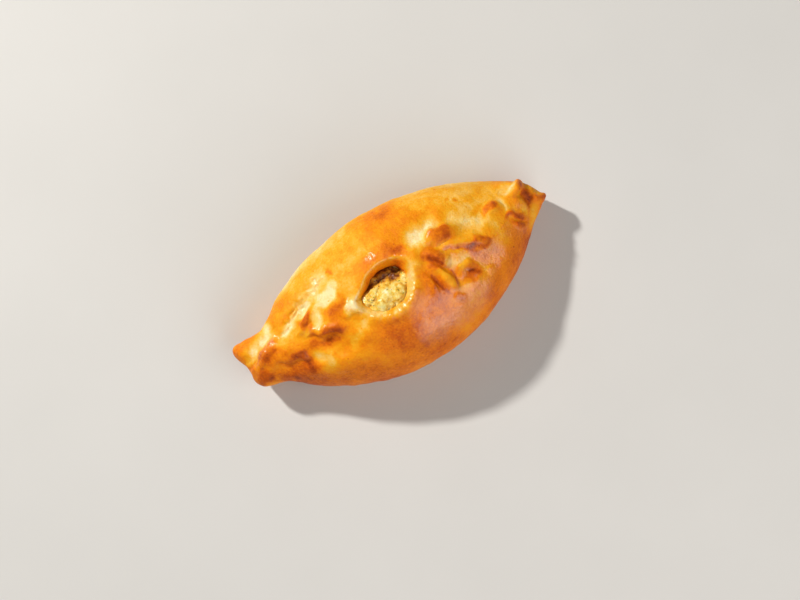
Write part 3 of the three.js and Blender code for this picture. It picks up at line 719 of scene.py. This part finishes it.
heap = {  # curds of the filling under the eye
    "seed": 5, "rings": 96, "segments": 168, "reach": (0.77, 0.79), "mouth": 11.2,
    "topEnds": 0.7, "sideRun": 0.2, "underFrom": 0.9, "underRun": 0.1, "foot": 31.5, "footShare": 0.9,
    "level": (34.8, 40.9), "slope": (-0.52, 0.22), "slopeTurn": math.radians(-95), "rise": 0.6,
    "lumps": 22, "lumpSize": (2.6, 5.4), "lumpStretch": (0.6, 1), "lumpRise": (0.3, 0.8),
    "lumpHeight": 0.85, "lumpSink": 0.6, "edgeDrop": (0.8, 0.6), "edgeFrom": 0.7,
    "crumb": (("curdLumps", 3.0, 1.3, "CLOUDS"), ("curdCrumb", 1.6, -0.32, "VORONOI"),
              ("curdGrain", 0.6, 0.16, "CLOUDS")),
    "curdToneAndShade": 0.42, "sunkShadeSlope": 0.34, "dark": 0.46, "darkBelow": (39.0, 36.0),
}


def heapReach(turn):
    return np.minimum(mixed(heap["reach"], lipShare(turn)) * crestReach(turn), heap["mouth"])


def heapHeight(x, y):
    dx, dy = x - eye["centre"][0], y - eye["centre"][1]
    turn = np.arctan2(dy, dx)
    share = np.clip(np.hypot(dx, dy) / heapReach(turn), 0, 1)
    side = share * np.cos(turn - heap["slopeTurn"])
    level = mixed(heap["level"], ease(*heap["slope"], side)) + heap["rise"] * (1 - share ** 2)
    draw = np.random.default_rng(heap["seed"])
    lumpy = np.zeros_like(x)
    for _ in range(heap["lumps"]):
        turnAt = draw.uniform(0, 2 * np.pi)
        reach = heapReach(turnAt) * math.sqrt(draw.uniform(0, 1))
        size = draw.uniform(*heap["lumpSize"])
        lean, stretch = draw.uniform(0, np.pi), draw.uniform(*heap["lumpStretch"])
        awayX, awayY = dx - reach * math.cos(turnAt), dy - reach * math.sin(turnAt)
        along = awayX * math.cos(lean) + awayY * math.sin(lean)
        across = awayY * math.cos(lean) - awayX * math.sin(lean)
        cap = np.sqrt(np.clip(1 - (along / size) ** 2 - (across / (size * stretch)) ** 2, 0, 1))
        lumpy = np.maximum(lumpy, cap * size * draw.uniform(*heap["lumpRise"]))
    drop = mixed(heap["edgeDrop"], lipShare(turn)) * ease(heap["edgeFrom"], 1, share)
    return level + heap["lumpHeight"] * (lumpy - heap["lumpSink"]) - drop


def makeHeap():
    piece = addSphere("fillingCurds", heap["rings"], heap["segments"])
    points = readPoints(piece)
    turn = np.arctan2(points[:, 1], points[:, 0])
    slope = np.arccos(np.clip(points[:, 2], -1, 1)) / np.pi  # 0 at the top, 1 underneath
    reach = heapReach(turn)
    spread = np.clip(slope / heap["topEnds"], 0, 1)  # over the top to its edge,
    down = np.clip((slope - heap["topEnds"]) / heap["sideRun"], 0, 1)  # down the side
    inward = np.clip((slope - heap["underFrom"]) / heap["underRun"], 0, 1)  # and back underneath
    away = reach * spread * mixed((1, heap["footShare"]), down) * (1 - inward)
    centreX, centreY = eye["centre"]
    top = heapHeight(centreX + reach * spread * np.cos(turn), centreY + reach * spread * np.sin(turn))
    x, y = centreX + away * np.cos(turn), centreY + away * np.sin(turn)
    z = mixed((top, heap["foot"]), down)
    writePoints(piece, np.stack([x + originShift, y, z], -1) * mm)
    for crumb in heap["crumb"]:
        roughen(piece, *crumb)
    # painted shade: darker where the curds sank between lumps and where the heap lies low in the eye's shadow
    settled = readPoints(piece)[:, 2] / mm - z
    deepShade = heap["dark"] * ease(*heap["darkBelow"], top)
    writeAttribute(piece, "curdToneAndShade", heap["curdToneAndShade"] - heap["sunkShadeSlope"] * settled + deepShade)
    print("curds shaped:", len(points), "points")
    return piece


crustPiece = makeCrust()
room = makeLens("fillingRoom", filling["gap"])
writeAttribute(room, "bakeAndShade", np.full(len(room.data.vertices), filling["roomBake"]))
writeAttribute(room, "gloss", np.zeros(len(room.data.vertices)))
applyModifier(crustPiece, "BOOLEAN", operation="DIFFERENCE", object=room, solver="MANIFOLD")
bpy.data.objects.remove(room)
fillingPiece = makeLens("fillingHeap", 0)
writeAttribute(fillingPiece, "curdToneAndShade", np.full(len(fillingPiece.data.vertices), filling["insideCrack"]))
curds = makeHeap()
applyModifier(fillingPiece, "BOOLEAN", operation="UNION", object=curds, solver="MANIFOLD")
bpy.data.objects.remove(curds)
for piece in (crustPiece, fillingPiece):
    piece.data.materials.clear()
    piece.vertex_groups.clear()
    makeActive(piece)
    bpy.ops.object.shade_smooth()
    print(piece.name, "closed:", len(piece.data.polygons), "faces")


# herb and pepper lie on the curds

flecks = {
    "dropFrom": 0.06, "tilt": 0.4, "uneven": (0.75, 1.2),
    "grain": 0.8, "detail": 3, "stops": (0.35, 0.65), "bump": (0.4, 0.2),
    "herb": {
        "seed": 3, "count": 12, "size": (0.35, 0.75), "shape": (1, 0.7, 0.25), "sink": 0.15,
        "places": [((3.1, 1.8), 1.6), ((-0.6, -2.4), 2.6), ((4.6, 3.6), 1.4), ((-6, 2), 4), ((-12, 0), 2.4)],
        "dark": (0.12, 0.15, 0.01), "light": (0.32, 0.34, 0.04), "roughness": 0.45,
    },
    "pepper": {
        "seed": 8, "count": 44, "size": (0.14, 0.34), "shape": (1, 0.8, 0.7), "sink": 0.05,
        "places": [((0.6, 8.4), 1.8), ((-7.2, 6.6), 2.2), ((-13.6, 2.8), 1.6), ((-13, 1.8), 2.2),
                   ((-2, 3), 6)],
        "dark": (0.02, 0.008, 0.004), "light": (0.12, 0.045, 0.015), "roughness": 0.5,
    },
}


def scatterFlecks(name, look, ground):
    draw = np.random.default_rng(look["seed"])
    copies = []
    for k in range(look["count"]):
        (aroundX, aroundY), spread = look["places"][k % len(look["places"])]
        x, y = draw.normal((aroundX, aroundY), 0.5 * spread)
        size, turn = draw.uniform(*look["size"]), draw.uniform(0, 2 * np.pi, 3)
        start = Vector(((x + originShift) * mm, y * mm, flecks["dropFrom"]))
        hit, normal = ground.ray_cast(start, Vector((0, 0, -1)))[:2]
        if hit is None:
            continue
        deselectAll()
        bpy.ops.mesh.primitive_ico_sphere_add(subdivisions=1, radius=size * mm)
        fleck = bpy.context.object
        points = readPoints(fleck)
        points *= np.array(look["shape"]) * draw.uniform(*flecks["uneven"], points.shape)  # no two alike
        lie = normal.to_track_quat("Z", "Y").to_matrix() @ Matrix.Rotation(turn[0], 3, "Z")
        lie = lie @ Matrix.Rotation(flecks["tilt"] * math.sin(turn[1]), 3, "X")
        points = points @ np.array(lie).T + np.array(hit - normal * look["sink"] * size * mm)
        writePoints(fleck, points)
        copies.append(fleck)
    deselectAll()
    for fleck in copies:
        fleck.select_set(True)
    bpy.context.view_layer.objects.active = copies[0]
    bpy.ops.object.join()
    piece = bpy.context.object
    piece.name = piece.data.name = name
    print(name, "laid:", len(copies))
    return piece


corners = [vertex.co for vertex in fillingPiece.data.vertices]
faces = [face.vertices for face in fillingPiece.data.polygons]
ground = BVHTree.FromPolygons(corners, faces)
herbPiece = scatterFlecks("herbFlecks", flecks["herb"], ground)
pepperPiece = scatterFlecks("pepperFlecks", flecks["pepper"], ground)


# materials

def newMaterial(name):
    material = bpy.data.materials.new(name)
    material.use_nodes = True
    tree = material.node_tree
    return material, tree, tree.nodes["Principled BSDF"]


def addNode(tree, kind, inputs=None, **settings):
    node = tree.nodes.new(kind)
    for key, value in settings.items():
        setattr(node, key, value)
    for key, value in (inputs or {}).items():
        if isinstance(value, bpy.types.NodeSocket):
            tree.links.new(value, node.inputs[key])
        else:
            node.inputs[key].default_value = value
    return node


def mathNode(tree, operation, first, second):
    return addNode(tree, "ShaderNodeMath", {0: first, 1: second}, operation=operation).outputs[0]


def objectPlace(tree):
    return addNode(tree, "ShaderNodeTexCoord").outputs["Object"]


def attributeValue(tree, name):
    return addNode(tree, "ShaderNodeAttribute", attribute_name=name).outputs["Fac"]


def noiseAt(tree, place, size, detail, stretch=(1, 1, 1)):
    mapped = addNode(tree, "ShaderNodeMapping", {"Vector": place, "Scale": stretch}).outputs[0]
    inputs = {"Vector": mapped, "Scale": 1 / (size * mm), "Detail": detail}
    return addNode(tree, "ShaderNodeTexNoise", inputs).outputs["Fac"]


def swayed(tree, base, texture, amount):
    inputs = {0: texture, 1: 2 * amount, 2: mathNode(tree, "SUBTRACT", base, amount)}
    return addNode(tree, "ShaderNodeMath", inputs, operation="MULTIPLY_ADD").outputs[0]


def rampNode(tree, value, stops):
    node = addNode(tree, "ShaderNodeValToRGB", {"Fac": value})
    elements = node.color_ramp.elements
    while len(elements) < len(stops):
        elements.new(0.5)
    for element, (position, colour) in zip(elements, stops):
        element.position = position
        element.color = (*colour, 1)
    return node.outputs["Color"]


def rangeNode(tree, value, fromRange, toRange):
    inputs = {"Value": value, "From Min": fromRange[0], "From Max": fromRange[1],
              "To Min": toRange[0], "To Max": toRange[1]}
    return addNode(tree, "ShaderNodeMapRange", inputs).outputs[0]


def bumpNode(tree, height, strength, distance, under=None):
    inputs = {"Strength": strength, "Distance": distance * mm, "Height": height}
    if under:
        inputs["Normal"] = under
    return addNode(tree, "ShaderNodeBump", inputs).outputs[0]


def setSockets(shader, values):
    for name, value in values.items():
        shader.inputs[name].default_value = value


bakedLook = {
    "stops": [(0.0, (0.93, 0.76, 0.40)), (0.16, (0.90, 0.55, 0.12)), (0.32, (0.87, 0.40, 0.015)),
              (0.42, (0.85, 0.31, 0.004)), (0.55, (0.79, 0.215, 0.003)), (0.7, (0.56, 0.105, 0.003)),
              (0.85, (0.29, 0.042, 0.003)), (1.0, (0.09, 0.015, 0.003))],
    "mottle": (18, 3), "cloud": (5, 4), "speckle": (1.0, 4), "streak": (2.6, 4, (1, 0.25, 1)),
    "fine": (0.5, 3), "brush": (1.1, 3, (1, 0.3, 1)),  # size, detail, shape
    "sways": {"mottle": 0.22, "cloud": 0.13, "speckle": 0.13, "streak": 0.10},
    "bumps": {"fine": (0.4, 0.3), "speckle": (0.4, 0.7), "streak": (0.3, 0.8), "cloud": (0.25, 1.2)},
    "washBumps": {"speckle": (0.3, 0.4), "brush": (0.5, 0.6)},  # brush lines in the dried egg wash
    "pore": {"size": 2.8, "reach": (0.04, 0.16), "chosen": (0.66, 0.74), "tone": 0.20},
    "glossSway": 0.2, "roughFrom": (0.1, 0.9), "roughness": (0.46, 0.17),
    "coatFrom": (0.15, 0.9), "coat": (0.0, 0.9),
    "sockets": {"Coat Roughness": 0.19, "Coat IOR": 1.75, "Subsurface Weight": 0.2, "Subsurface Scale": 1.0,
                "Subsurface Radius": (0.0020, 0.0008, 0.0003), "Specular IOR Level": 0.12},
}


def layeredBump(tree, textures, bumps):
    normal = None
    for key, (strength, distance) in bumps.items():
        normal = bumpNode(tree, textures[key], strength, distance, normal)
    return normal


def bakedDoughMaterial():
    material, tree, shader = newMaterial("bakedDough")
    place = objectPlace(tree)
    textures = {}
    for key in ("mottle", "cloud", "speckle", "streak", "fine", "brush"):
        textures[key] = noiseAt(tree, place, *bakedLook[key])
    bakeAndShade = attributeValue(tree, "bakeAndShade")
    for key, amount in bakedLook["sways"].items():
        bakeAndShade = swayed(tree, bakeAndShade, textures[key], amount)
    pore = bakedLook["pore"]
    cell = addNode(tree, "ShaderNodeTexVoronoi", {"Vector": place, "Scale": 1 / (pore["size"] * mm)})
    dot = rangeNode(tree, cell.outputs["Distance"], pore["reach"], (pore["tone"], 0))
    dot = mathNode(tree, "MULTIPLY", dot, rangeNode(tree, cell.outputs["Color"], pore["chosen"], (0, 1)))
    bakeAndShade = mathNode(tree, "ADD", bakeAndShade, dot)
    gloss = swayed(tree, attributeValue(tree, "gloss"), textures["cloud"], bakedLook["glossSway"])
    sockets = {
        "Base Color": rampNode(tree, bakeAndShade, bakedLook["stops"]),
        "Roughness": rangeNode(tree, gloss, bakedLook["roughFrom"], bakedLook["roughness"]),
        "Coat Weight": rangeNode(tree, gloss, bakedLook["coatFrom"], bakedLook["coat"]),
        "Normal": layeredBump(tree, textures, bakedLook["bumps"]),
        "Coat Normal": layeredBump(tree, textures, bakedLook["washBumps"]),
    }
    for name, output in sockets.items():
        tree.links.new(output, shader.inputs[name])
    setSockets(shader, bakedLook["sockets"])
    return material


curdLook = {
    "stops": [(0.22, (0.94, 0.82, 0.46)), (0.38, (0.89, 0.70, 0.22)), (0.52, (0.80, 0.50, 0.055)),
              (0.68, (0.58, 0.26, 0.02)), (0.95, (0.18, 0.05, 0.011))],
    "lump": (2.4, 4), "lumpSway": 0.5, "grain": (0.5, 3), "bump": (0.25, 0.4),
    "green": {"noise": (3.4, 2), "where": (0.5, 0.66), "amount": 0.42, "fades": (0.4, 0.6),
              "tint": (0.62, 0.57, 0.09, 1)},
    "sockets": {"Roughness": 0.36, "Coat Weight": 0.2, "Coat Roughness": 0.15, "Specular IOR Level": 0.3,
                "Subsurface Weight": 0.2, "Subsurface Scale": 1.0,
                "Subsurface Radius": (0.0016, 0.0011, 0.0005)},
}


def curdMaterial():
    material, tree, shader = newMaterial("fillingCurd")
    place = objectPlace(tree)
    lump = noiseAt(tree, place, *curdLook["lump"])
    curdToneAndShade = swayed(tree, attributeValue(tree, "curdToneAndShade"), lump, curdLook["lumpSway"])
    green = curdLook["green"]
    share = rangeNode(tree, noiseAt(tree, place, *green["noise"]), green["where"], (0, green["amount"]))
    share = mathNode(tree, "MULTIPLY", share, rangeNode(tree, curdToneAndShade, green["fades"], (1, 0)))
    inputs = {"Factor": share, "A": rampNode(tree, curdToneAndShade, curdLook["stops"]), "B": green["tint"]}
    colour = addNode(tree, "ShaderNodeMix", inputs, data_type="RGBA")
    tree.links.new(colour.outputs["Result"], shader.inputs["Base Color"])
    grain = noiseAt(tree, place, *curdLook["grain"])
    tree.links.new(bumpNode(tree, grain, *curdLook["bump"]), shader.inputs["Normal"])
    setSockets(shader, curdLook["sockets"])
    return material


def fleckMaterial(name, look):
    material, tree, shader = newMaterial(name)
    patchy = noiseAt(tree, objectPlace(tree), flecks["grain"], flecks["detail"])
    stops = list(zip(flecks["stops"], (look["dark"], look["light"])))
    tree.links.new(rampNode(tree, patchy, stops), shader.inputs["Base Color"])
    tree.links.new(bumpNode(tree, patchy, *flecks["bump"]), shader.inputs["Normal"])
    setSockets(shader, {"Roughness": look["roughness"]})
    return material


crustPiece.data.materials.append(bakedDoughMaterial())
fillingPiece.data.materials.append(curdMaterial())
herbPiece.data.materials.append(fleckMaterial("choppedHerb", flecks["herb"]))
pepperPiece.data.materials.append(fleckMaterial("groundPepper", flecks["pepper"]))
for piece, node, slotName in ((crustPiece, "crust", "baked_dough"), (fillingPiece, "filling", "filling")):
    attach(piece, "root")
    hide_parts(node)
for piece in (herbPiece, pepperPiece):
    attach(piece, "root")
print("materials given")


# floor, lights and camera

studio = {
    "pixelsPerMetre": 348.1 / 0.150,  # the pastry's length in the photograph
    "seamTurn": math.radians(32),  # the seam's turn in the picture
    "objectPixel": (398.53, 287.65), "frameSize": (800, 600),
    "cameraHeight": 1.2, "outlineHeight": 0.017, "sensor": 36,
    "world": ((1.0, 0.97, 0.93), 0.10),
    "panels": [  # name, picture direction and elevation, distance, size, power, colour
        ("keyLight", (-0.81, 0.59, 40), 1.3, 0.09, 17.8, (1, 0.96, 0.9)),
        ("sidePanel", (0.85, -0.53, 41), 0.9, 1.1, 5.2, (1, 0.95, 0.9)),
        ("lowPanel", (0.35, -0.94, 22), 1.0, 0.8, 2.0, (1, 0.95, 0.9)),
    ],
    "floorSize": 4, "floorGrain": (60, 3), "floorRoughness": 0.75,
    "floorStops": [(0.0, (0.60, 0.60, 0.59)), (1.0, (0.64, 0.64, 0.63))],
}
pictureRight = Vector((math.cos(studio["seamTurn"]), -math.sin(studio["seamTurn"]), 0))
pictureUp = Vector((math.sin(studio["seamTurn"]), math.cos(studio["seamTurn"]), 0))


def addCamera():
    data = bpy.data.cameras.new("photoCamera")
    camera = bpy.data.objects.new("photoCamera", data)
    scene.collection.objects.link(camera)
    width, height = studio["frameSize"]
    data.sensor_width = studio["sensor"]
    data.lens = studio["sensor"] * studio["cameraHeight"] * studio["pixelsPerMetre"] / width
    across = (width / 2 - studio["objectPixel"][0]) / studio["pixelsPerMetre"]
    down = (height / 2 - studio["objectPixel"][1]) / studio["pixelsPerMetre"]
    place = pictureRight * across - pictureUp * down
    place.z = studio["cameraHeight"] + studio["outlineHeight"]
    turn = Matrix((pictureRight, pictureUp, Vector((0, 0, 1)))).transposed().to_4x4()
    camera.matrix_world = Matrix.Translation(place) @ turn
    scene.camera = camera


def addPanel(name, direction, distance, size, power, colour):
    data = bpy.data.lights.new(name, "AREA")
    data.shape = "DISK"
    data.size = size
    data.energy = power
    data.color = colour
    light = bpy.data.objects.new(name, data)
    scene.collection.objects.link(light)
    aim = Vector(direction).normalized()
    turn = aim.to_track_quat("Z", "Y").to_matrix().to_4x4()
    light.matrix_world = Matrix.Translation(aim * distance) @ turn


def pictureDirection(right, up, elevation):
    level = (pictureRight * right + pictureUp * up).normalized() * math.cos(math.radians(elevation))
    return level + Vector((0, 0, math.sin(math.radians(elevation))))


def floorMaterial():
    material, tree, shader = newMaterial("paleFloor")
    grain = noiseAt(tree, objectPlace(tree), *studio["floorGrain"])
    tree.links.new(rampNode(tree, grain, studio["floorStops"]), shader.inputs["Base Color"])
    setSockets(shader, {"Roughness": studio["floorRoughness"]})
    return material


addCamera()
for name, direction, distance, size, power, colour in studio["panels"]:
    addPanel(name, pictureDirection(*direction), distance, size, power, colour)

deselectAll()
bpy.ops.mesh.primitive_plane_add(size=studio["floorSize"])
floor = bpy.context.object
floor.name = "floor"
floor.data.materials.append(floorMaterial())
world = bpy.data.worlds.new("softRoom")
world.use_nodes = True
background = world.node_tree.nodes["Background"]
background.inputs["Color"].default_value = (*studio["world"][0], 1)
background.inputs["Strength"].default_value = studio["world"][1]
scene.world = world
scene.view_settings.view_transform = "Standard"
print("studio lit")
